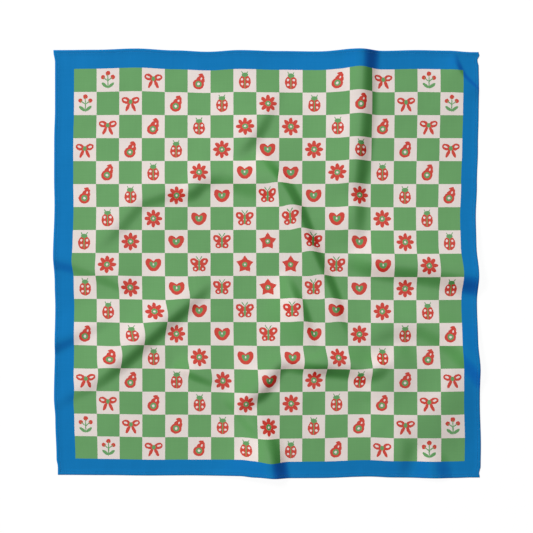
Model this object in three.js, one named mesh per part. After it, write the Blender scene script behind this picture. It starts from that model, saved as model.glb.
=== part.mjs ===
// Square cotton bandana, hemmed all round and laid out open, with the soft creases left by folding.
// It is one piece of cloth: the hem is the same cloth turned over twice, so it is the thicker rim
// of the one solid. X runs to the right of the cloth, Y to its top edge and Z up from the surface.
// Every length is in millimetres.
import * as THREE from 'three';

// Finished size, and the thickness of the cloth and of its hem.
const WIDTH = 558;
const LENGTH = 561;
const CLOTH_THICKNESS = 1.0;
const HEM_THICKNESS = 1.8;
const HEM_WIDTH = 5;
const HEM_STEP = 1.2;

// Each side's cloth is eased outwards (+) or drawn in (-) where creases reach it.
// The columns are the place along the side, and how far the edge stands out there.
const EDGE_REACH = 120;
const EDGES = {
  top: [[-277, 0.5], [-224, 0.9], [-172, 2.6], [-119, 0.1], [-77, -1.7], [-35, 0.5], [18, -0.9],
    [71, -1.8], [121, 1.4], [155, -0.5], [197, 0.4], [239, -0.3], [271, -2.2]],
  bottom: [[-267, -1.7], [-214, -1.4], [-153, -0.8], [-101, -1.1], [-35, -0.9], [-14, 0.8], [18, 2.6],
    [71, 2.5], [137, 0.5], [166, 1.6], [245, 2.4], [268, 1.8]],
  left: [[-270, -4.6], [-259, -2.9], [-207, -1.3], [-176, 0.4], [-112, -0.8], [-59, -1.3], [-27, -0.5],
    [11, 1.2], [78, -0.3], [110, 0.3], [163, 0.2], [205, -0.9], [264, -0.9], [279, 1.2]],
  right: [[-279, 2.6], [-275, 1.9], [-266, 3.9], [-238, 4.2], [-180, 2.6], [-143, 2.5], [-101, -0.3],
    [-54, -1.2], [-17, 0.3], [25, -2.8], [57, -3.2], [105, -1.3], [152, 0.3], [199, 1.2], [236, 1.7],
    [261, 1.3], [270, -0.4], [276, 2.2], [280, 1.2]],
};

// A crease is a ridge whose crest follows a path. To the left of the way along the path the cloth
// climbs slowly over the distance rise, and to the right it drops over the distance fall.
// The columns of a path are x, y and the height of the crest there.
const CREASES = [
  { name: 'top ridge', fall: 26, rise: 150,
    path: [[114, 17, 0], [114, 36, 3.4], [114, 65, 6], [114, 89, 5], [114, 112, 7.4], [118, 149, 8.2],
      [123, 195, 8.2], [124, 235, 8.5], [125, 261, 8.7], [127, 290, 8.5]] },
  { name: 'short crease above the middle', fall: 21, rise: 150,
    path: [[-45, 139, 0], [-35, 153, 2.8], [-17, 174, 4.6], [-2, 199, 3.2], [11, 222, 1.3], [19, 242, 0]] },
  { name: 'upper arc', fall: 22, rise: 150,
    path: [[-230, 17, 0], [-206, 42, 2.1], [-187, 63, 2.9], [-168, 83, 3], [-135, 95, 3.7],
      [-116, 97, 3.8], [-101, 99, 5.2], [-86, 110, 3.8], [-69, 115, 1.8], [-52, 114, 0]] },
  { name: 'broad fold above the middle', fall: 36, rise: 150,
    path: [[-106, 115, 0], [-90, 121, 2.4], [-72, 123, 4.4], [-44, 120, 7], [-19, 114, 7.2],
      [7, 102, 4.2], [24, 88, 1.4], [36, 70, 0]] },
  { name: 'long slope through the middle', fall: 18, rise: 200,
    path: [[108, -108, 0], [98, -84, 2.9], [90, -59, 5.8], [77, -25, 6.8], [62, 7, 8.2], [48, 44, 8.6],
      [36, 73, 9], [23, 97, 8.5], [9, 114, 6.6], [-6, 132, 2.8], [-20, 145, 0]] },
  { name: 'inner slope', fall: 17, rise: 90,
    path: [[66, -117, 0], [52, -88, 5.9], [42, -62, 7.7], [33, -40, 5.6], [22, -9, 0]] },
  { name: 'left diagonal', fall: 21, rise: 90,
    path: [[-293, -191, 0], [-260, -171, 1.6], [-226, -152, 2.8], [-201, -132, 5.2], [-166, -102, 5.7],
      [-140, -79, 5.7], [-114, -57, 5.3], [-89, -35, 2.8], [-72, -18, 0]] },
  { name: 'right ridge', fall: 33, rise: 200,
    path: [[84, 17, 0], [113, 11, 3], [145, 3, 7.2], [196, -2, 9], [230, -7, 9.4], [268, -13, 10],
      [292, -18, 10.2]] },
  { name: 'elbow', fall: 21, rise: 80,
    path: [[-46, -193, 0], [-25, -176, 4.9], [-10, -165, 6.2], [1, -150, 6.2], [12, -135, 4.6],
      [29, -126, 2], [50, -124, 0]] },
  { name: 'long arm of the elbow', fall: 24, rise: 130,
    path: [[5, -135, 0], [29, -128, 4], [67, -130, 9.4], [90, -131, 9.4], [110, -134, 8.9],
      [130, -140, 6.6], [146, -136, 5.8], [160, -124, 0]] },
  { name: 'bottom ridge', fall: 26, rise: 140,
    path: [[10, -299, 10], [6, -272, 9.8], [4, -257, 9.2], [-2, -233, 6.2], [-8, -210, 2.2],
      [-14, -186, 0]] },
  { name: 'small crease left of the elbow', fall: 15, rise: 70,
    path: [[-124, -135, 0], [-103, -139, 3.4], [-90, -144, 4], [-72, -152, 3], [-53, -164, 0]] },
  { name: 'arch over the long arm', fall: 30, rise: 90,
    path: [[126, -98, 0], [147, -89, 2.2], [171, -82, 2.8], [197, -77, 4.3], [224, -87, 5.2],
      [253, -106, 6], [274, -127, 7.4], [295, -148, 8]] },
  { name: 'upper crease at the left edge', fall: 19, rise: 70,
    path: [[-293, 10, 3.1], [-259, 3, 3.1], [-214, -13, 3.3], [-187, -25, 2.8], [-165, -33, 0]] },
  { name: 'lower crease at the left edge', fall: 19, rise: 50,
    path: [[-293, -110, 3], [-257, -94, 2.7], [-224, -79, 1.7], [-198, -67, 0]] },
  { name: 'crease across the top right corner', fall: 8, rise: 60,
    path: [[286, 222, 0], [275, 230, 1.9], [259, 245, 2.4], [251, 259, 2.8], [248, 271, 1],
      [248, 280, 0]] },
  { name: 'slope past the end of the long arm', fall: 95, rise: 60,
    path: [[126, -183, 0], [142, -164, 3.5], [158, -143, 5], [174, -122, 4], [187, -104, 0]] },
  { name: 'slope to the bottom right corner', fall: 75, rise: 60,
    path: [[97, -246, 0], [156, -217, 2.6], [209, -200, 4], [242, -160, 3.5], [271, -101, 1.5]] },
  { name: 'dent near the bottom right', fall: 26, rise: 60,
    path: [[170, -292, 0], [174, -264, 2.8], [175, -246, 3.8], [171, -232, 2.8], [160, -214, 0]] },
  { name: 'short crease in the bottom border', fall: 30, rise: 50,
    path: [[220, -299, 4.4], [220, -283, 4.6], [218, -267, 4.4], [211, -252, 2.6], [203, -241, 0]] },
  { name: 'faint crease below the elbow', fall: 18, rise: 36,
    path: [[-58, -172, 0], [-44, -184, 1.7], [-24, -203, 2.7], [-13, -216, 2.8], [-4, -230, 0]] },
];

// A crease narrows towards its ends to this share of its full width.
const END_WIDTH = 0.7;
// The crest of a crease is rounded over this distance, not sharp.
const CREST_ROUND = 8;
// How creases that cross add up: at 1 their heights would simply be added.
const JOINING = 1.25;
// Cloth that would stand less than this above the surface has settled flat on it.
const SETTLE = 0.6;
// Spacing of the points that stand for a crest, and how fast a far one stops counting.
const CREST_STEP = 3;
const CREST_FOCUS = 6;

// The cloth is divided evenly between the hems, and each hem has a line at its stitching.
const FIELD_SPANS = 49;

// Eases from 1 at 0 to 0 at 1 and beyond.
function ease(t) {
  const held = Math.min(Math.max(t, 0), 1);
  return 0.5 + 0.5 * Math.cos(Math.PI * held);
}

// How far an edge stands out at a place along it.
function edgeOut(rows, along) {
  if (along <= rows[0][0]) return rows[0][1];
  for (let k = 1; k < rows.length; k += 1) {
    const [start, from] = rows[k - 1];
    const [end, to] = rows[k];
    if (along <= end) return to + (from - to) * ease((along - start) / (end - start));
  }
  return rows[rows.length - 1][1];
}

// Where a point of the flat cloth lies once its edges are eased out or drawn in.
function laid(u, v) {
  const right = edgeOut(EDGES.right, v) * ease((WIDTH / 2 - u) / EDGE_REACH);
  const left = edgeOut(EDGES.left, v) * ease((WIDTH / 2 + u) / EDGE_REACH);
  const top = edgeOut(EDGES.top, u) * ease((LENGTH / 2 - v) / EDGE_REACH);
  const bottom = edgeOut(EDGES.bottom, u) * ease((LENGTH / 2 + v) / EDGE_REACH);
  return [u + right - left, v + top - bottom];
}

// A crest as evenly spaced points, each with its height and the direction of the path there.
function crestOf({ fall, rise, path }) {
  const curve = new THREE.CatmullRomCurve3(path.map((row) => new THREE.Vector3(...row)), false, 'catmullrom');
  const count = Math.ceil(curve.getLength() / CREST_STEP);
  const points = [];
  for (let k = 0; k <= count; k += 1) {
    const at = curve.getPointAt(k / count);
    const along = curve.getTangentAt(k / count).setZ(0).normalize();
    points.push({ x: at.x, y: at.y, height: Math.max(at.z, 0), alongX: along.x, alongY: along.y });
  }
  return { fall, rise, points, peak: Math.max(...points.map((point) => point.height)) };
}
const CRESTS = CREASES.map(crestOf);

// The height that one crease gives the cloth at a place.
function creaseHeight({ fall, rise, points, peak }, x, y) {
  let nearest = Infinity;
  let weights = 0;
  let heights = 0;
  let sides = 0;
  for (const point of points) {
    const ex = x - point.x;
    const ey = y - point.y;
    const distance = Math.hypot(ex, ey);
    const weight = (distance + 1) ** -CREST_FOCUS;
    const side = (point.alongX * ey - point.alongY * ex) / (distance + 0.001);
    nearest = Math.min(nearest, distance);
    weights += weight;
    heights += weight * point.height;
    sides += weight * side;
  }
  const height = heights / weights;
  const climbing = 0.5 + 0.5 * (sides / weights);
  const taper = END_WIDTH + (1 - END_WIDTH) * (height / peak);
  const falling = ease(nearest / (fall * taper));
  const beyond = Math.hypot(nearest, CREST_ROUND) - CREST_ROUND;
  const rising = Math.max(0, 1 - beyond / (rise * taper)) ** 2;
  return height * (falling + (rising - falling) * climbing);
}

// Where creases meet, the cloth rises above the higher of them, and between them it lies flat.
function clothHeight(x, y) {
  const joined = CRESTS.reduce((sum, crest) => sum + creaseHeight(crest, x, y) ** JOINING, 0);
  return Math.max(0, joined ** (1 / JOINING) - SETTLE);
}

// The lines of the cloth one way: the edge, the hem's stitching, the foot of the hem's step,
// even lines across the field, and the same again at the far edge.
function clothLines(length) {
  const hem = [0, HEM_WIDTH, HEM_WIDTH + HEM_STEP];
  const field = length - 2 * (HEM_WIDTH + HEM_STEP);
  const lines = hem.map((place) => place - length / 2);
  for (let k = 1; k < FIELD_SPANS; k += 1) {
    lines.push(HEM_WIDTH + HEM_STEP + (k * field) / FIELD_SPANS - length / 2);
  }
  return lines.concat(hem.reverse().map((place) => length / 2 - place));
}

// The hem is full thickness out to its stitching, and the cloth is single past the step.
function thicknessAt(u, v) {
  const fromEdge = Math.min(WIDTH / 2 - Math.abs(u), LENGTH / 2 - Math.abs(v));
  const inHem = fromEdge < HEM_WIDTH + HEM_STEP / 2;
  return inHem ? HEM_THICKNESS : CLOTH_THICKNESS;
}

// A closed sheet: an underside that lies on the surface or is lifted by the creases, the same
// places again one thickness higher, and a wall round the edge.
function clothSheet() {
  const across = clothLines(WIDTH);
  const along = clothLines(LENGTH);
  const under = [];
  const over = [];
  for (const v of along) {
    for (const u of across) {
      const [x, y] = laid(u, v);
      const z = clothHeight(x, y);
      under.push(x, y, z);
      over.push(x, y, z + thicknessAt(u, v));
    }
  }
  const columns = across.length;
  const rows = along.length;
  const total = columns * rows;
  const faces = [];
  // Each square is split along the diagonal that lies nearer to the cloth at the square's middle.
  for (let r = 0; r < rows - 1; r += 1) {
    for (let c = 0; c < columns - 1; c += 1) {
      const a = r * columns + c;
      const b = a + 1;
      const d = a + columns;
      const e = d + 1;
      const height = (k) => under[3 * k + 2];
      const [x, y] = laid((across[c] + across[c + 1]) / 2, (along[r] + along[r + 1]) / 2);
      const middle = clothHeight(x, y);
      const missAE = Math.abs((height(a) + height(e)) / 2 - middle);
      const missBD = Math.abs((height(b) + height(d)) / 2 - middle);
      const halves = missAE <= missBD ? [[a, b, e], [a, e, d]] : [[a, b, d], [b, e, d]];
      for (const [p, q, s] of halves) {
        faces.push(total + p, total + q, total + s);
        faces.push(p, s, q);
      }
    }
  }
  // The wall, one side of the cloth after another, anticlockwise seen from above.
  const rim = [];
  for (let c = 0; c < columns - 1; c += 1) rim.push(c);
  for (let r = 0; r < rows - 1; r += 1) rim.push(r * columns + columns - 1);
  for (let c = columns - 1; c > 0; c -= 1) rim.push((rows - 1) * columns + c);
  for (let r = rows - 1; r > 0; r -= 1) rim.push(r * columns);
  rim.forEach((p, k) => {
    const q = rim[(k + 1) % rim.length];
    faces.push(p, q, total + q);
    faces.push(p, total + q, total + p);
  });
  const geometry = new THREE.BufferGeometry();
  geometry.setAttribute('position', new THREE.Float32BufferAttribute(under.concat(over), 3));
  geometry.setIndex(faces);
  return geometry;
}

// The origin is under the middle of the cloth, on the surface.
function centred(geometry) {
  geometry.computeBoundingBox();
  const middle = geometry.boundingBox.getCenter(new THREE.Vector3());
  geometry.translate(-middle.x, -middle.y, -geometry.boundingBox.min.z);
  geometry.computeVertexNormals();
  return geometry;
}

// Printed cotton, matt, in the green of the print's checks.
const cotton = new THREE.MeshStandardMaterial({ color: '#689d64', roughness: 0.9, metalness: 0 });
const bandana = new THREE.Mesh(centred(clothSheet()), cotton);
bandana.name = 'bandana';

const part = new THREE.Group();
part.add(bandana);

export default part;
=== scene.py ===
import math

import bpy
import numpy as np
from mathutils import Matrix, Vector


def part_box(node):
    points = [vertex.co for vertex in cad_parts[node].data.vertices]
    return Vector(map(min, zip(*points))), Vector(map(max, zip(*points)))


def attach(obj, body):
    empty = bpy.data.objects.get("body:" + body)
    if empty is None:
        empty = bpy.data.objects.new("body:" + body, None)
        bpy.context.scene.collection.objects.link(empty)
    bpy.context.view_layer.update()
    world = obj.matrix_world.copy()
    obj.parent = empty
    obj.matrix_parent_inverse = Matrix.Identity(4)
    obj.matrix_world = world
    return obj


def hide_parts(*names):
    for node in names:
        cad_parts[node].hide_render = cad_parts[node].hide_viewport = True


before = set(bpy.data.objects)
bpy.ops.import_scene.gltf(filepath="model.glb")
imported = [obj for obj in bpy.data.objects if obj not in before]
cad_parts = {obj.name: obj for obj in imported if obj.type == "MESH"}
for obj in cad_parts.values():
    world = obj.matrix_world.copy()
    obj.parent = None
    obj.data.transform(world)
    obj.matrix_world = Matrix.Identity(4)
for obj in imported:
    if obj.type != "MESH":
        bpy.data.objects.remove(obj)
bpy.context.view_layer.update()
bpy.ops.object.select_all(action="DESELECT")

# The cloth. One square of thin plain-weave cotton, cut, with its four sides turned over twice and
# hemmed, and laid out open. It lies on the table between the soft ridges that folding left. It is
# a closed sheet of real thickness, with every crease given in the table below.
MM = 0.001
WIDTH = 558
LENGTH = 561
CLOTH_THICKNESS = 0.45

# Across the hem, from the edge inwards: place, and thickness there. The edge is a rounded turn,
# the stitches pull the cloth down into a shallow groove, and the hem ends in a small step.
HEM_SECTION = [(0, 0.5), (0.5, 0.74), (1.5, 0.84), (2.9, 0.82), (3.6, 0.7), (4.1, 0.54),
               (4.6, 0.68), (5.4, 0.64), (7.2, CLOTH_THICKNESS)]
FIELD_SPANS = 201

# Where each side stands out or is drawn in: place along the side, distance outwards.
EDGE_REACH = 120
EDGES = {
    "top": [(-277, 0.5), (-224, 0.9), (-172, 2.6), (-119, 0.1), (-77, -1.7), (-35, 0.5), (18, -0.9),
            (71, -1.8), (121, 1.4), (155, -0.5), (197, 0.4), (239, -0.3), (271, -2.2)],
    "bottom": [(-267, -1.7), (-214, -1.4), (-153, -0.8), (-101, -1.1), (-35, -0.9), (-14, 0.8), (18, 2.6),
               (71, 2.5), (137, 0.5), (166, 1.6), (245, 2.4), (268, 1.8)],
    "left": [(-270, -4.6), (-259, -2.9), (-207, -1.3), (-176, 0.4), (-112, -0.8), (-59, -1.3), (-27, -0.5),
             (11, 1.2), (78, -0.3), (110, 0.3), (163, 0.2), (205, -0.9), (264, -0.9), (279, 1.2)],
    "right": [(-279, 2.6), (-275, 1.9), (-266, 3.9), (-238, 4.2), (-180, 2.6), (-143, 2.5), (-101, -0.3),
              (-54, -1.2), (-17, 0.3), (25, -2.8), (57, -3.2), (105, -1.3), (152, 0.3), (199, 1.2),
              (236, 1.7), (261, 1.3), (270, -0.4), (276, 2.2), (280, 1.2)],
}

# The creases: fall and rise are the widths of a ridge's right and left sides, seen along its path.
# taken is how much of the print its fall has taken in from the left, slide is how far the print on
# the crest has shifted forwards, and a path's columns are x, y and height.
CREASES = {
    "top ridge": dict(fall=26, rise=150, taken=1, slide=2, path=[
        (114, 17, 0), (114, 36, 3.4), (114, 65, 6), (114, 89, 5), (114, 112, 7.4), (118, 149, 8.2),
        (123, 195, 8.2), (124, 235, 8.5), (125, 261, 8.7), (127, 290, 8.5)]),
    "short crease above the middle": dict(fall=21, rise=150, taken=0.6, slide=1, path=[
        (-45, 139, 0), (-35, 153, 2.8), (-17, 174, 4.6), (-2, 199, 3.2), (11, 222, 1.3), (19, 242, 0)]),
    "upper arc": dict(fall=22, rise=150, taken=0, slide=1.2, path=[
        (-230, 17, 0), (-206, 42, 2.1), (-187, 63, 2.9), (-168, 83, 3), (-135, 95, 3.7), (-116, 97, 3.8),
        (-101, 99, 5.2), (-86, 110, 3.8), (-69, 115, 1.8), (-52, 114, 0)]),
    "broad fold above the middle": dict(fall=36, rise=150, taken=0, slide=0, path=[
        (-106, 115, 0), (-90, 121, 2.4), (-72, 123, 4.4), (-44, 120, 7), (-19, 114, 7.2), (7, 102, 4.2),
        (24, 88, 1.4), (36, 70, 0)]),
    "long slope through the middle": dict(fall=18, rise=200, taken=0, slide=3.3, path=[
        (108, -108, 0), (98, -84, 2.9), (90, -59, 5.8), (77, -25, 6.8), (62, 7, 8.2),
        (48, 44, 8.6), (36, 73, 9), (23, 97, 8.5), (9, 114, 6.6), (-6, 132, 2.8), (-20, 145, 0)]),
    "inner slope": dict(fall=17, rise=90, taken=2.6, slide=1, path=[
        (66, -117, 0), (52, -88, 5.9), (42, -62, 7.7), (33, -40, 5.6), (22, -9, 0)]),
    "left diagonal": dict(fall=21, rise=90, taken=2.6, slide=4, path=[
        (-293, -191, 0), (-260, -171, 1.6), (-226, -152, 2.8), (-201, -132, 5.2), (-166, -102, 5.7),
        (-140, -79, 5.7), (-114, -57, 5.3), (-89, -35, 2.8), (-72, -18, 0)]),
    "right ridge": dict(fall=33, rise=200, taken=0, slide=1.2, path=[
        (84, 17, 0), (113, 11, 3), (145, 3, 7.2), (196, -2, 9), (230, -7, 9.4), (268, -13, 10),
        (292, -18, 10.2)]),
    "elbow": dict(fall=21, rise=80, taken=2, slide=1, path=[
        (-46, -193, 0), (-25, -176, 4.9), (-10, -165, 6.2), (1, -150, 6.2), (12, -135, 4.6), (29, -126, 2),
        (50, -124, 0)]),
    "long arm of the elbow": dict(fall=24, rise=130, taken=0, slide=3.5, path=[
        (5, -135, 0), (29, -128, 4), (67, -130, 9.4), (90, -131, 9.4), (110, -134, 8.9), (130, -140, 6.6),
        (146, -136, 5.8), (160, -124, 0)]),
    "bottom ridge": dict(fall=26, rise=140, taken=3, slide=-2.6, path=[
        (10, -299, 10), (6, -272, 9.8), (4, -257, 9.2), (-2, -233, 6.2), (-8, -210, 2.2), (-14, -186, 0)]),
    "small crease left of the elbow": dict(fall=15, rise=70, taken=0, slide=2.5, path=[
        (-124, -135, 0), (-103, -139, 3.4), (-90, -144, 4), (-72, -152, 3), (-53, -164, 0)]),
    "arch over the long arm": dict(fall=30, rise=90, taken=0, slide=0, path=[
        (126, -98, 0), (147, -89, 2.2), (171, -82, 2.8), (197, -77, 4.3), (224, -87, 5.2), (253, -106, 6),
        (274, -127, 7.4), (295, -148, 8)]),
    "upper crease at the left edge": dict(fall=19, rise=70, taken=0, slide=-1.3, path=[
        (-293, 10, 3.1), (-259, 3, 3.1), (-214, -13, 3.3), (-187, -25, 2.8), (-165, -33, 0)]),
    "lower crease at the left edge": dict(fall=19, rise=50, taken=0, slide=0, path=[
        (-293, -110, 3), (-257, -94, 2.7), (-224, -79, 1.7), (-198, -67, 0)]),
    "crease across the top right corner": dict(fall=8, rise=60, taken=0, slide=0, path=[
        (286, 222, 0), (275, 230, 1.9), (259, 245, 2.4), (251, 259, 2.8), (248, 271, 1), (248, 280, 0)]),
    "slope past the end of the long arm": dict(fall=95, rise=60, taken=0, slide=0, path=[
        (126, -183, 0), (142, -164, 3.5), (158, -143, 5), (174, -122, 4), (187, -104, 0)]),
    "slope to the bottom right corner": dict(fall=75, rise=60, taken=0, slide=0, path=[
        (97, -246, 0), (156, -217, 2.6), (209, -200, 4), (242, -160, 3.5), (271, -101, 1.5)]),
    "dent near the bottom right": dict(fall=26, rise=60, taken=0, slide=0, path=[
        (170, -292, 0), (174, -264, 2.8), (175, -246, 3.8), (171, -232, 2.8), (160, -214, 0)]),
    "short crease in the bottom border": dict(fall=30, rise=50, taken=0, slide=0, path=[
        (220, -299, 4.4), (220, -283, 4.6), (218, -267, 4.4), (211, -252, 2.6), (203, -241, 0)]),
    "faint crease below the elbow": dict(fall=18, rise=36, taken=0, slide=0, path=[
        (-58, -172, 0), (-44, -184, 1.7), (-24, -203, 2.7), (-13, -216, 2.8), (-4, -230, 0)]),
}

# The share of its width that a ridge keeps at its ends, the spacing of a crest's points, how fast a
# far one stops counting, how far its top is rounded, and how ridges that cross add up.
END_WIDTH = 0.7
CREST_STEP = 3
CREST_FOCUS = 6
CREST_ROUND = 8
JOINING = 1.25

# Where the folds have drawn a whole stretch of the print along: its middle, how far it reaches, and
# how far it is shifted there, to the right and away.
DRIFTS = [(150, 225, 170, 1.9, 0.2), (-120, -190, 170, 0.6, -1.5), (190, -50, 190, 0.4, -1.6),
          (20, -170, 140, 0.9, -1.6), (200, -190, 120, 0.5, -0.8)]

# Between the creases the cloth is never quite flat: low waves of these lengths and heights cross
# it every way, and the hem's stitches draw it into small puckers.
WAVES = [(61, 0.26), (38, 0.14), (21, 0.06)]
WAVE_TURNS = 5
WAVE_SEED = 7
WAVE_SWING = 0.5
WAVE_SPREAD = (0.75, 1.3)
PUCKER_LENGTH = 26
PUCKER_HEIGHT = 0.07
PUCKER_REACH = 16


def ease(t):
    """Eases from 1 at 0 to 0 at 1 and beyond."""
    return 0.5 + 0.5 * np.cos(np.pi * np.clip(t, 0, 1))


def edge_out(rows, place):
    """How far an edge stands out at each place along it."""
    along = np.array([row[0] for row in rows], float)
    out = np.array([row[1] for row in rows], float)
    k = np.clip(np.searchsorted(along, place), 1, len(rows) - 1)
    share = ease((place - along[k - 1]) / (along[k] - along[k - 1]))
    return out[k] + (out[k - 1] - out[k]) * share


def laid(u, v):
    """Where points of the flat cloth lie once its edges are eased out or drawn in."""
    right = edge_out(EDGES["right"], v) * ease((WIDTH / 2 - u) / EDGE_REACH)
    left = edge_out(EDGES["left"], v) * ease((WIDTH / 2 + u) / EDGE_REACH)
    top = edge_out(EDGES["top"], u) * ease((LENGTH / 2 - v) / EDGE_REACH)
    bottom = edge_out(EDGES["bottom"], u) * ease((LENGTH / 2 + v) / EDGE_REACH)
    return u + right - left, v + top - bottom


def crest_of(path):
    """A crease's path as a smooth curve through its rows, with a point every CREST_STEP."""
    rows = np.array(path, float)
    rows = np.vstack([2 * rows[0] - rows[1], rows, 2 * rows[-1] - rows[-2]])
    points = []
    for a, b, c, d in zip(rows, rows[1:], rows[2:], rows[3:]):
        steps = max(1, round(np.hypot(c[0] - b[0], c[1] - b[1]) / CREST_STEP))
        for t in np.arange(steps) / steps:
            bend = (2 * a - 5 * b + 4 * c - d) * t ** 2 + (3 * b - a - 3 * c + d) * t ** 3
            points.append(b + ((c - a) * t + bend) / 2)
    points.append(rows[-2])
    points = np.array(points)
    points[:, 2] = np.maximum(points[:, 2], 0)
    return points


def crease_at(crease, x, y):
    """The height that one crease gives the cloth, and how far it shifts the print in x and y."""
    crest = crest_of(crease["path"])
    ahead = np.gradient(crest[:, :2], axis=0)
    ahead /= np.linalg.norm(ahead, axis=1)[:, None]
    from_x = x[:, None] - crest[:, 0]
    from_y = y[:, None] - crest[:, 1]
    distance = np.hypot(from_x, from_y)
    weight = 1 / (distance + 1) ** CREST_FOCUS
    weight /= weight.sum(axis=1)[:, None]
    side = (ahead[:, 0] * from_y - ahead[:, 1] * from_x) / (distance + 0.001)
    height = (weight * crest[:, 2]).sum(axis=1)
    climbing = 0.5 + 0.5 * (weight * side).sum(axis=1)
    taper = END_WIDTH + (1 - END_WIDTH) * height / crest[:, 2].max()
    nearest = distance.min(axis=1)
    falling = ease(nearest / (crease["fall"] * taper))
    beyond = np.hypot(nearest, CREST_ROUND) - CREST_ROUND
    rising = np.clip(1 - beyond / (crease["rise"] * taper), 0, 1) ** 2
    near = falling + (rising - falling) * climbing
    share = height / crest[:, 2].max()
    onwards = share * crease["slide"] * falling
    across = share * crease["taken"] * near
    ahead_x, ahead_y = (weight @ ahead).T
    return height * near, onwards * ahead_x + across * ahead_y, onwards * ahead_y - across * ahead_x


def waves(x, y):
    """Low waves that cross each other at every angle, always at or above the table."""
    chance = np.random.RandomState(WAVE_SEED)
    height = np.zeros_like(x)
    for length, rise in WAVES:
        for turn in np.arange(WAVE_TURNS) * math.pi / WAVE_TURNS:
            turn += chance.uniform(0, WAVE_SWING)
            length_here = length * chance.uniform(*WAVE_SPREAD)
            bend = np.sin(y / length + chance.uniform(0, 6)) + np.sin(x / length + chance.uniform(0, 6))
            across = x * math.cos(turn) + y * math.sin(turn)
            height += rise * (1 + np.sin(2 * math.pi * across / length_here + bend))
    return height / WAVE_TURNS


def puckers(u, v):
    """The hem's small puckers, which fade out inwards."""
    near_side = ease((WIDTH / 2 - np.abs(u)) / PUCKER_REACH)
    near_end = ease((LENGTH / 2 - np.abs(v)) / PUCKER_REACH)
    along_side = np.sin(2 * math.pi * v / PUCKER_LENGTH + 2 * np.sin(v / 31))
    along_end = np.sin(2 * math.pi * u / PUCKER_LENGTH + 2 * np.sin(u / 37))
    return PUCKER_HEIGHT * (near_side * along_side ** 2 + near_end * along_end ** 2)


def draped(u, v):
    """Where points of the flat cloth lie, how high their underside is, and the print's shift."""
    x, y = laid(u, v)
    joined = np.zeros_like(x)
    shift_u = np.zeros_like(x)
    shift_v = np.zeros_like(x)
    for crease in CREASES.values():
        lift, shift_x, shift_y = crease_at(crease, x, y)
        joined += lift ** JOINING
        shift_u += shift_x
        shift_v += shift_y
    for middle_x, middle_y, reach, shift_x, shift_y in DRIFTS:
        near = ease(np.hypot(x - middle_x, y - middle_y) / reach)
        shift_u += shift_x * near
        shift_v += shift_y * near
    under = joined ** (1 / JOINING) + waves(x, y) + puckers(u, v)
    return x, y, under, shift_u, shift_v


def thickness_at(u, v):
    """The cloth's thickness, which is greater in the hem."""
    from_edge = np.minimum(WIDTH / 2 - np.abs(u), LENGTH / 2 - np.abs(v))
    return np.interp(from_edge, *zip(*HEM_SECTION))


def cloth_lines(length):
    """The mesh lines one way: those of the hem, even ones across the field, and the far hem's."""
    hem = [place for place, _ in HEM_SECTION]
    even = np.linspace(hem[-1], length - hem[-1], FIELD_SPANS + 1)[1:-1]
    return np.concatenate([hem, even, [length - place for place in reversed(hem)]]) - length / 2


lines_u = cloth_lines(WIDTH)
lines_v = cloth_lines(LENGTH)
cloth_u, cloth_v = (grid.ravel() for grid in np.meshgrid(lines_u, lines_v))
x, y, under, shift_u, shift_v = draped(cloth_u, cloth_v)
over = under + thickness_at(cloth_u, cloth_v)

# The solid that this cloth stands for is centred over the origin, so the cloth is too.
solid_low, solid_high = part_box("bandana")
middle_x = (x.min() + x.max()) / 2 - (solid_low[0] + solid_high[0]) / 2 / MM
middle_y = (y.min() + y.max()) / 2 - (solid_low[1] + solid_high[1]) / 2 / MM
x -= middle_x
y -= middle_y
points = np.vstack([np.column_stack([x, y, under]), np.column_stack([x, y, over])]) * MM

columns = len(lines_u)
rows = len(lines_v)
first = (np.arange(rows - 1)[:, None] * columns + np.arange(columns - 1)).ravel()
underside = np.column_stack([first, first + columns, first + columns + 1, first + 1])
face_side = underside[:, ::-1] + columns * rows
rim = np.concatenate([
    np.arange(columns - 1),
    np.arange(rows - 1) * columns + columns - 1,
    (rows - 1) * columns + np.arange(columns - 1, 0, -1),
    np.arange(rows - 1, 0, -1) * columns,
])
rim_next = np.roll(rim, -1)
wall = np.column_stack([rim, rim_next, rim_next + columns * rows, rim + columns * rows])
faces = np.vstack([face_side, wall, underside])

mesh = bpy.data.meshes.new("bandana_cloth")
mesh.from_pydata(points.tolist(), [], faces.tolist())
cloth = bpy.data.objects.new("bandana_cloth", mesh)
bpy.context.collection.objects.link(cloth)
mesh.polygons.foreach_set("use_smooth", [True] * len(faces))

# The map of the print runs from 0 to 1 over the flat cloth, and follows the cloth that the creases
# have shifted. One attribute tells the reverse, at 1, from the printed face, at 0, which the hem
# turns under. The other is how steeply the cloth stands, as rise over run.
print_map = mesh.uv_layers.new(name="print")
print_places = np.column_stack([(cloth_u - shift_u) / WIDTH + 0.5, (cloth_v - shift_v) / LENGTH + 0.5])
print_map.data.foreach_set("uv", print_places[faces.ravel() % len(cloth_u)].ravel())
from_edge = np.minimum(WIDTH / 2 - np.abs(cloth_u), LENGTH / 2 - np.abs(cloth_v))
past_hem = (from_edge > HEM_SECTION[-2][0]).astype(float)
reverse = mesh.attributes.new("reverse", "FLOAT", "POINT")
reverse.data.foreach_set("value", np.concatenate([past_hem, np.zeros_like(past_hem)]))
# The steepness sets where crease shade is painted into the cloth's colour.
slope_v, slope_u = np.gradient(under.reshape(rows, columns), lines_v, lines_u)
steepness = mesh.attributes.new("steepness", "FLOAT", "POINT")
steepness.data.foreach_set("value", np.tile(np.hypot(slope_u, slope_v).ravel(), 2))

# The print, in inks on bleached cotton: a plain blue border round a field of green and natural
# checks, with one small motif in each natural check.
BORDER = {"left": 25.2, "right": 21.1, "top": 24.9, "bottom": 21.9}
CHECKS = 17
BLUE = "#0a74b4"
GREEN = "#689d64"
NATURAL = "#e2d7d2"
RED = "#c9493e"

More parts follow.
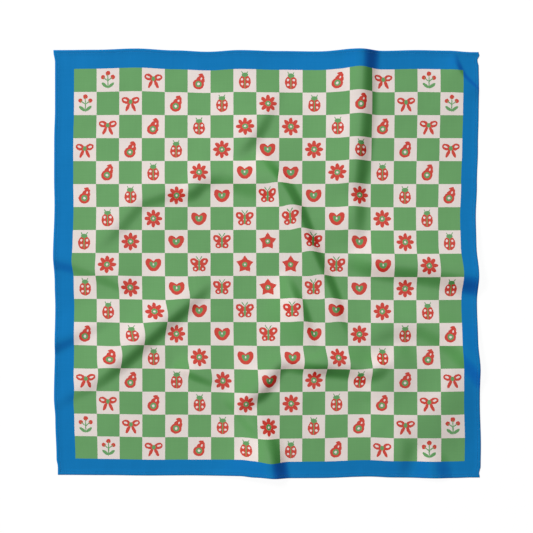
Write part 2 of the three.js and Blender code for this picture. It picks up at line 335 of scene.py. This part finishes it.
# The motifs, in rings from the middle out. Each row is a shape, its ink, the millimetres to its
# centre, its half width and half height, its turn in degrees, and its copies: 1, "pair" for it
# and its mirror image, or how many stand in a circle.
MOTIFS = {
    "star": [
        ("diamond", "red", 0, 5.0, 3.9, 5.6, 0, 5), ("oval", "red", 0, 0, 4.6, 4.6, 0, 1),
        ("oval", "green", 0, 0, 3.0, 3.0, 0, 1), ("oval", "natural", 0, 0, 1.2, 1.2, 0, 1)],
    "butterfly": [
        ("oval", "red", 5.4, 3.0, 5.6, 4.1, 35, "pair"), ("oval", "red", 4.0, -4.6, 3.8, 3.4, 0, "pair"),
        ("oval", "green", 0, -0.6, 1.2, 6.8, 0, 1), ("oval", "green", 2.2, 7.8, 0.6, 2.7, -35, "pair"),
        ("oval", "natural", 6.3, 3.7, 1.6, 1.3, 35, "pair"),
        ("oval", "natural", 4.3, -5.0, 1.2, 1.2, 0, "pair")],
    "heart": [
        ("oval", "red", 3.1, -0.4, 5.0, 8.2, -33, "pair"),
        ("oval", "green", 1.5, -0.3, 2.4, 4.0, -33, "pair"),
        ("oval", "natural", 0, 0.3, 0.9, 1.3, 0, 1)],
    "daisy": [
        ("oval", "red", 0, 6.6, 2.3, 3.9, 0, 8), ("oval", "green", 0, 0, 3.3, 3.3, 0, 1),
        ("oval", "natural", 0, 0, 1.3, 1.3, 0, 1)],
    "ladybird": [
        ("oval", "red", 0, -1.6, 7.0, 8.0, 0, 1), ("oval", "green", 0, 6.6, 3.8, 2.5, 0, 1),
        ("oval", "green", 0, -1.6, 0.6, 7.8, 0, 1), ("oval", "green", 2.9, 9.4, 0.55, 1.9, -30, "pair"),
        ("oval", "natural", 3.4, 1.4, 1.4, 1.4, 0, "pair"),
        ("oval", "natural", 3.2, -4.4, 1.4, 1.4, 0, "pair")],
    "paisley": [
        ("oval", "red", -0.8, -3.2, 6.6, 6.2, 0, 1), ("oval", "red", 1.6, 1.6, 5.0, 4.8, 0, 1),
        ("oval", "red", 3.3, 5.4, 3.1, 3.2, 0, 1), ("oval", "red", 2.0, 8.3, 2.9, 1.3, 12, 1),
        ("oval", "green", -0.6, -3.0, 3.7, 3.6, 0, 1), ("oval", "natural", -0.6, -3.0, 1.6, 1.6, 0, 1),
        ("oval", "natural", 2.7, 3.4, 0.9, 1.5, -20, 1)],
    "bow": [
        ("oval", "red", 5.6, 3.0, 5.1, 3.8, 18, "pair"), ("oval", "red", 3.4, -4.6, 1.9, 5.4, 26, "pair"),
        ("oval", "green", 0, 1.4, 2.2, 2.7, 0, 1), ("oval", "natural", 6.3, 3.3, 2.3, 1.2, 18, "pair")],
    "sprig": [
        ("oval", "green", 0, -1.5, 0.7, 8.6, 0, 1), ("oval", "green", 3.9, -5.8, 4.4, 1.8, 38, "pair"),
        ("oval", "green", 2.6, 1.0, 0.6, 4.0, -52, "pair"), ("oval", "red", 5.9, 3.4, 2.5, 2.5, 0, "pair"),
        ("oval", "red", 0, 8.0, 2.7, 2.7, 0, 1)],
}
MOTIF_SCALE = 1.12
OUTLINE_WAVER = 1.4
THREAD_SPACING = 1.3
SLUB_WIDTH = 1.7
SLUB_LENGTH = 42
SLUB_SHADE = 0.08


def linear(code):
    """An sRGB hex colour as the linear colour that a socket holds."""
    shares = [int(code[k:k + 2], 16) / 255 for k in (1, 3, 5)]
    return [s / 12.92 if s <= 0.04045 else ((s + 0.055) / 1.055) ** 2.4 for s in shares] + [1]


def add(tree, kind, inputs, output=None, **settings):
    """Adds a node with its settings, gives its inputs numbers or other outputs, returns an output."""
    node = tree.nodes.new(kind)
    for name, value in settings.items():
        setattr(node, name, value)
    for name, value in inputs.items():
        named = [socket for socket in node.inputs if socket.enabled and socket.name == name]
        socket = node.inputs[name] if isinstance(name, int) else named[0]
        if isinstance(value, bpy.types.NodeSocket):
            tree.links.new(value, socket)
        else:
            socket.default_value = value
    if output is None:
        return next((socket for socket in node.outputs if socket.enabled), None)
    return node.outputs[output]


def either(tree, mask, other):
    """Two masks as one, where the first may still be missing."""
    return other if mask is None else add(tree, "ShaderNodeMath", {0: mask, 1: other}, operation="MAXIMUM")


def stamped(tree, plain, mirrored, shape, across, up, half_width, half_height, turn, copies):
    """One shape of a motif as a mask, 1 inside it and 0 outside."""
    count = 1 if copies == "pair" else copies
    mask = None
    for k in range(count):
        swing = 2 * math.pi * k / count
        local = add(tree, "ShaderNodeMapping", {
            "Vector": mirrored if copies == "pair" else plain,
            "Location": (
                across * math.cos(swing) - up * math.sin(swing),
                across * math.sin(swing) + up * math.cos(swing),
                0,
            ),
            "Rotation": (0, 0, math.radians(turn) + swing),
            "Scale": (half_width, half_height, 1),
        }, vector_type="TEXTURE")
        if shape == "diamond":
            local = add(tree, "ShaderNodeVectorMath", {0: local}, operation="ABSOLUTE")
            from_centre = add(tree, "ShaderNodeVectorMath", {0: local, 1: (1, 1, 0)}, operation="DOT_PRODUCT")
        else:
            from_centre = add(tree, "ShaderNodeVectorMath", {0: local}, operation="LENGTH")
        inside = add(tree, "ShaderNodeMath", {0: from_centre, 1: 1}, operation="LESS_THAN")
        mask = either(tree, mask, inside)
    return mask


# Cotton lawn, plain woven, bleached and screen printed. It is matt and takes the ink evenly, with
# faint streaks along its thicker threads both ways. The ink shows paler through the reverse.
cotton = bpy.data.materials.new("screen_printed_cotton_lawn")
cotton.use_nodes = True
tree = cotton.node_tree
tree.nodes.clear()

map_place = add(tree, "ShaderNodeUVMap", {}, uv_map="print")
print_mm = add(tree, "ShaderNodeMapping", {
    "Vector": map_place,
    "Location": (-BORDER["left"], -BORDER["bottom"], 0),
    "Scale": (WIDTH, LENGTH, 0),
})

# Hand-cut screens leave the outlines of the motifs slightly wavy.
pitch = (
    (WIDTH - BORDER["left"] - BORDER["right"]) / CHECKS,
    (LENGTH - BORDER["bottom"] - BORDER["top"]) / CHECKS,
    1,
)
in_checks = add(tree, "ShaderNodeVectorMath", {0: print_mm, 1: pitch}, operation="DIVIDE")
check = add(tree, "ShaderNodeVectorMath", {0: in_checks}, operation="FLOOR")
local = add(tree, "ShaderNodeVectorMath", {0: in_checks, 1: check}, operation="SUBTRACT")
local = add(tree, "ShaderNodeVectorMath", {0: local, 1: (0.5, 0.5, 0)}, operation="SUBTRACT")
motif_pitch = [side / MOTIF_SCALE for side in pitch]
local = add(tree, "ShaderNodeVectorMath", {0: local, 1: motif_pitch}, operation="MULTIPLY")
waver = add(tree, "ShaderNodeTexNoise", {"Vector": print_mm, "Scale": 0.3, "Detail": 2}, output="Color")
waver = add(tree, "ShaderNodeVectorMath", {0: waver, 1: (0.5, 0.5, 0.5)}, operation="SUBTRACT")
plain = add(tree, "ShaderNodeVectorMath", {
    0: waver, 1: (OUTLINE_WAVER, OUTLINE_WAVER, 0), 2: local,
}, operation="MULTIPLY_ADD")
plain_x, plain_y, _ = add(tree, "ShaderNodeSeparateXYZ", {"Vector": plain}).node.outputs
mirrored_x = add(tree, "ShaderNodeMath", {0: plain_x}, operation="ABSOLUTE")
mirrored = add(tree, "ShaderNodeCombineXYZ", {"X": mirrored_x, "Y": plain_y})

# How many checks a place is from the middle one, each way.
middle = (CHECKS - 1) / 2
steps = add(tree, "ShaderNodeVectorMath", {0: check, 1: (middle, middle, 0)}, operation="SUBTRACT")
steps = add(tree, "ShaderNodeVectorMath", {0: steps}, operation="ABSOLUTE")
steps_x, steps_y, _ = add(tree, "ShaderNodeSeparateXYZ", {"Vector": steps}).node.outputs
outermost = add(tree, "ShaderNodeMath", {0: steps_x, 1: steps_y}, operation="MAXIMUM")
in_field = add(tree, "ShaderNodeMath", {0: outermost, 1: middle + 0.5}, operation="LESS_THAN")
ring = add(tree, "ShaderNodeMath", {0: steps_x, 1: steps_y}, operation="ADD")
odd = add(tree, "ShaderNodeMath", {0: ring, 1: 2}, operation="MODULO")

# Each motif is printed in one diamond-shaped ring of natural checks round the middle of the
# cloth. The red goes on first, then the green, and small reserves are left natural.
printed = {"red": None, "green": None, "natural": None}
for k, motif in enumerate(MOTIFS.values()):
    here = add(tree, "ShaderNodeMath", {0: ring, 1: 2 * k + 1, 2: 0.5}, operation="COMPARE")
    for ink in printed:
        mask = None
        for shape, shape_ink, *measures in motif:
            if shape_ink == ink:
                mask = either(tree, mask, stamped(tree, plain, mirrored, shape, *measures))
        if mask is not None:
            mask = add(tree, "ShaderNodeMath", {0: mask, 1: here}, operation="MULTIPLY")
            printed[ink] = either(tree, printed[ink], mask)

colour = add(tree, "ShaderNodeMix", {
    "Factor": odd, "A": linear(GREEN), "B": linear(NATURAL),
}, data_type="RGBA")
for ink, code in (("red", RED), ("green", GREEN), ("natural", NATURAL)):
    colour = add(tree, "ShaderNodeMix", {
        "Factor": printed[ink], "A": colour, "B": linear(code),
    }, data_type="RGBA")
colour = add(tree, "ShaderNodeMix", {"Factor": in_field, "A": linear(BLUE), "B": colour}, data_type="RGBA")

# Painted shade: where the cloth stands steep, as on the shaded falls of the creases, a gamma that
# grows with steepness darkens every colour and deepens the inks, on top of the light's own shading.
STEEP_FROM = 0.09
STEEP_TO = 0.5
PAINTED_SHADE_DEPTH = 0.5
PAINTED_SHADE_LIFT = 0.4
steep = add(tree, "ShaderNodeAttribute", {}, output="Fac", attribute_name="steepness")
painted_shade_share = add(tree, "ShaderNodeMapRange", {"Value": steep, "From Min": STEEP_FROM, "From Max": STEEP_TO})
painted_shade_gamma = add(tree, "ShaderNodeMath", {0: painted_shade_share, 1: PAINTED_SHADE_DEPTH, 2: 1}, operation="MULTIPLY_ADD")
colour = add(tree, "ShaderNodeGamma", {"Color": colour, "Gamma": painted_shade_gamma})

# On the reverse, two fifths of the ink's strength is lost.
REVERSE_LOSS = 0.4
on_reverse = add(tree, "ShaderNodeAttribute", {}, output="Fac", attribute_name="reverse")
lost = add(tree, "ShaderNodeMath", {0: on_reverse, 1: REVERSE_LOSS}, operation="MULTIPLY")
colour = add(tree, "ShaderNodeMix", {"Factor": lost, "A": colour, "B": linear(NATURAL)}, data_type="RGBA")

# Slubs, the thicker stretches of single threads, run along the warp and the weft. A real thread
# is a third of a millimetre wide, so they are drawn about five times as wide, to show.
warp = add(tree, "ShaderNodeMapping", {"Vector": print_mm, "Scale": (1 / SLUB_WIDTH, 1 / SLUB_LENGTH, 1)})
warp = add(tree, "ShaderNodeTexNoise", {"Vector": warp, "Scale": 1, "Detail": 2})
weft = add(tree, "ShaderNodeMapping", {"Vector": print_mm, "Scale": (1 / SLUB_LENGTH, 1 / SLUB_WIDTH, 1)})
weft = add(tree, "ShaderNodeTexNoise", {"Vector": weft, "Scale": 1, "Detail": 2})
slubs = add(tree, "ShaderNodeMath", {0: warp, 1: weft}, operation="ADD")
shade = add(tree, "ShaderNodeMath", {0: slubs, 1: SLUB_SHADE, 2: 1 - SLUB_SHADE}, operation="MULTIPLY_ADD")
# Painted light: steep places are also made up to two fifths brighter, so the painted shade darkens the inks
# more than the natural cotton.
shade = add(tree, "ShaderNodeMath", {0: painted_shade_share, 1: PAINTED_SHADE_LIFT, 2: shade}, operation="MULTIPLY_ADD")
colour = add(tree, "ShaderNodeHueSaturation", {"Color": colour, "Value": shade})

# The weave, over and under, drawn at THREAD_SPACING, about four times the real one's.
over_under = add(tree, "ShaderNodeVectorMath", {
    0: print_mm, "Scale": math.pi / THREAD_SPACING,
}, operation="SCALE")
over_under = add(tree, "ShaderNodeVectorMath", {0: over_under}, operation="SINE")
over_x, over_y, _ = add(tree, "ShaderNodeSeparateXYZ", {"Vector": over_under}).node.outputs
weave = add(tree, "ShaderNodeMath", {0: over_x, 1: over_y}, operation="MULTIPLY")
relief = add(tree, "ShaderNodeMath", {0: slubs, 1: 1.5, 2: weave}, operation="MULTIPLY_ADD")
normal = add(tree, "ShaderNodeBump", {"Height": relief, "Strength": 0.3, "Distance": 0.00004})
roughness = add(tree, "ShaderNodeMapRange", {
    "Value": slubs, "From Min": 0.7, "From Max": 1.3, "To Min": 0.92, "To Max": 0.8,
})
cloth_shader = add(tree, "ShaderNodeBsdfPrincipled", {
    "Base Color": colour, "Roughness": roughness, "Specular IOR Level": 0.08,
    "Sheen Weight": 0.03, "Sheen Roughness": 0.6, "Normal": normal,
})
add(tree, "ShaderNodeOutputMaterial", {"Surface": cloth_shader})
mesh.materials.append(cotton)

# The stitching. One line of lockstitch in blue cotton-wrapped thread holds the hem down, four
# millimetres in from the edge, all the way round. Each stitch is a short plump piece of thread
# that dips into the cloth at both ends.
STITCH_LINE = 4.1
STITCH_PITCH = 2.7
STITCH_LENGTH = 2.3
THREAD_RADIUS = 0.2
THREAD_LIFT = 0.1
THREAD_SIDES = 5
THREAD = "#2480bd"

# Along a stitch: share of its length, share of its radius, and lift.
STITCH_STATIONS = [(-0.5, 0.3, -0.15), (-0.3, 0.9, 0.06), (0.3, 0.9, 0.06), (0.5, 0.3, -0.15)]


def stitch_places():
    """Each stitch's middle on the flat cloth, and the direction it runs in."""
    half_u = WIDTH / 2 - STITCH_LINE
    half_v = LENGTH / 2 - STITCH_LINE
    turns = [(-half_u, -half_v), (half_u, -half_v), (half_u, half_v), (-half_u, half_v)]
    for start, end in zip(turns, turns[1:] + turns[:1]):
        start = np.array(start)
        run = np.array(end) - start
        count = round(np.linalg.norm(run) / STITCH_PITCH)
        for k in range(count):
            yield start + run * (k + 0.5) / count, run / np.linalg.norm(run)


stitch_middles, stitch_runs = (np.array(column) for column in zip(*stitch_places()))
stations = []
for share, _, lift in STITCH_STATIONS:
    station_u, station_v = (stitch_middles + stitch_runs * share * STITCH_LENGTH).T
    x, y, under, _, _ = draped(station_u, station_v)
    top = under + thickness_at(station_u, station_v) + THREAD_LIFT + lift
    stations.append(np.column_stack([x - middle_x, y - middle_y, top]))
ahead = stations[-1] - stations[0]
ahead /= np.linalg.norm(ahead, axis=1)[:, None]
sideways = np.cross([0, 0, 1], ahead)
sideways /= np.linalg.norm(sideways, axis=1)[:, None]
upwards = np.cross(ahead, sideways)

thread_points = []
for station, (_, fullness, _) in zip(stations, STITCH_STATIONS):
    for k in range(THREAD_SIDES):
        angle = 2 * math.pi * k / THREAD_SIDES
        around = sideways * math.cos(angle) + upwards * math.sin(angle)
        thread_points.append(station + around * THREAD_RADIUS * fullness)
thread_points = np.array(thread_points).transpose(1, 0, 2)

last_ring = THREAD_SIDES * (len(STITCH_STATIONS) - 1)
one_stitch = [list(range(THREAD_SIDES))[::-1], [last_ring + k for k in range(THREAD_SIDES)]]
for start in range(0, last_ring, THREAD_SIDES):
    for k in range(THREAD_SIDES):
        a = start + k
        b = start + (k + 1) % THREAD_SIDES
        one_stitch.append([a, b, b + THREAD_SIDES, a + THREAD_SIDES])
per_stitch = last_ring + THREAD_SIDES
stitch_faces = [[n * per_stitch + k for k in face] for n in range(len(thread_points)) for face in one_stitch]
stitch_mesh = bpy.data.meshes.new("hem_stitching")
stitch_mesh.from_pydata((thread_points.reshape(-1, 3) * MM).tolist(), [], stitch_faces)
stitching = bpy.data.objects.new("hem_stitching", stitch_mesh)
bpy.context.collection.objects.link(stitching)
stitch_mesh.polygons.foreach_set("use_smooth", [True] * len(stitch_faces))

# Cotton-wrapped sewing thread, twisted and dyed, a little lighter and glossier than the cloth. Its
# twist, a third of a millimetre apart, shows as slanting light and dark.
TWIST_SPACING = 0.00035
thread = bpy.data.materials.new("twisted_sewing_thread")
thread.use_nodes = True
tree = thread.node_tree
tree.nodes.clear()
thread_place = add(tree, "ShaderNodeTexCoord", {}, output="Object")
twist = add(tree, "ShaderNodeTexWave", {
    "Vector": thread_place, "Scale": math.pi / 10 / TWIST_SPACING, "Distortion": 1,
}, output="Fac", bands_direction="DIAGONAL")
twist_shade = add(tree, "ShaderNodeMapRange", {"Value": twist, "To Min": 0.85, "To Max": 1.1})
thread_colour = add(tree, "ShaderNodeHueSaturation", {"Color": linear(THREAD), "Value": twist_shade})
thread_normal = add(tree, "ShaderNodeBump", {"Height": twist, "Strength": 0.4, "Distance": 0.00005})
thread_shader = add(tree, "ShaderNodeBsdfPrincipled", {
    "Base Color": thread_colour, "Roughness": 0.6, "Specular IOR Level": 0.35, "Normal": thread_normal,
})
add(tree, "ShaderNodeOutputMaterial", {"Surface": thread_shader})
stitch_mesh.materials.append(thread)

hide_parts("bandana")
for piece in (cloth, stitching):
    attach(piece, "root")

# The table. A plain white top, lit so evenly that the cloth hardly shades it: most of its
# brightness is its own glow, and the rest takes the faint shadow.
FLOOR_SIZE = 60
TABLE_GLOW = 0.955
TABLE_MATT = 0.055
bpy.ops.mesh.primitive_plane_add(size=FLOOR_SIZE)
table_top = bpy.context.object
table_top.name = "table_top"
white = bpy.data.materials.new("white_laminate")
white.use_nodes = True
tree = white.node_tree
tree.nodes.clear()
glow = add(tree, "ShaderNodeEmission", {"Color": (1, 1, 1, 1), "Strength": TABLE_GLOW})
matt = add(tree, "ShaderNodeBsdfDiffuse", {"Color": (TABLE_MATT, TABLE_MATT, TABLE_MATT, 1)})
lit = add(tree, "ShaderNodeAddShader", {0: glow, 1: matt})
add(tree, "ShaderNodeOutputMaterial", {"Surface": lit})
table_top.data.materials.append(white)

# One large soft light stands far off at the top left, low enough to shade the creases, and an
# even sky fills the shadows. The camera sees that sky as white as the table.
LIGHT_TURN = math.radians(42)
LIGHT_HEIGHT = math.radians(33)
LIGHT_DISTANCE = 8
LIGHT_SIZE = 2
LIGHT_ENERGY = 927
SKY_STRENGTH = 0.17
towards_light = (
    -math.cos(LIGHT_TURN) * math.cos(LIGHT_HEIGHT),
    math.sin(LIGHT_TURN) * math.cos(LIGHT_HEIGHT),
    math.sin(LIGHT_HEIGHT),
)
bpy.ops.object.light_add(type="AREA", location=[LIGHT_DISTANCE * part for part in towards_light])
softbox = bpy.context.object
softbox.data.shape = "SQUARE"
softbox.data.size = LIGHT_SIZE
softbox.data.energy = LIGHT_ENERGY
softbox.rotation_euler = (math.pi / 2 - LIGHT_HEIGHT, 0, math.pi * 3 / 2 - LIGHT_TURN)
softbox.visible_camera = False

world = bpy.data.worlds.new("white_studio")
bpy.context.scene.world = world
world.use_nodes = True
tree = world.node_tree
tree.nodes.clear()
seen = add(tree, "ShaderNodeLightPath", {}, output="Is Camera Ray")
strength = add(tree, "ShaderNodeMapRange", {"Value": seen, "To Min": SKY_STRENGTH, "To Max": 1})
sky = add(tree, "ShaderNodeBackground", {"Color": (1, 1, 1, 1), "Strength": strength})
add(tree, "ShaderNodeOutputWorld", {"Surface": sky})
bpy.context.scene.view_settings.view_transform = "Standard"

# The camera hangs straight above the cloth, as for the photograph, with its top edge up.
CAMERA_PLACE = (-0.0009, -0.0042, 1.659)
CAMERA_LENS = 85
bpy.ops.object.camera_add(location=CAMERA_PLACE, rotation=(0, 0, 0))
camera = bpy.context.object
camera.data.lens = CAMERA_LENS
bpy.context.scene.camera = camera
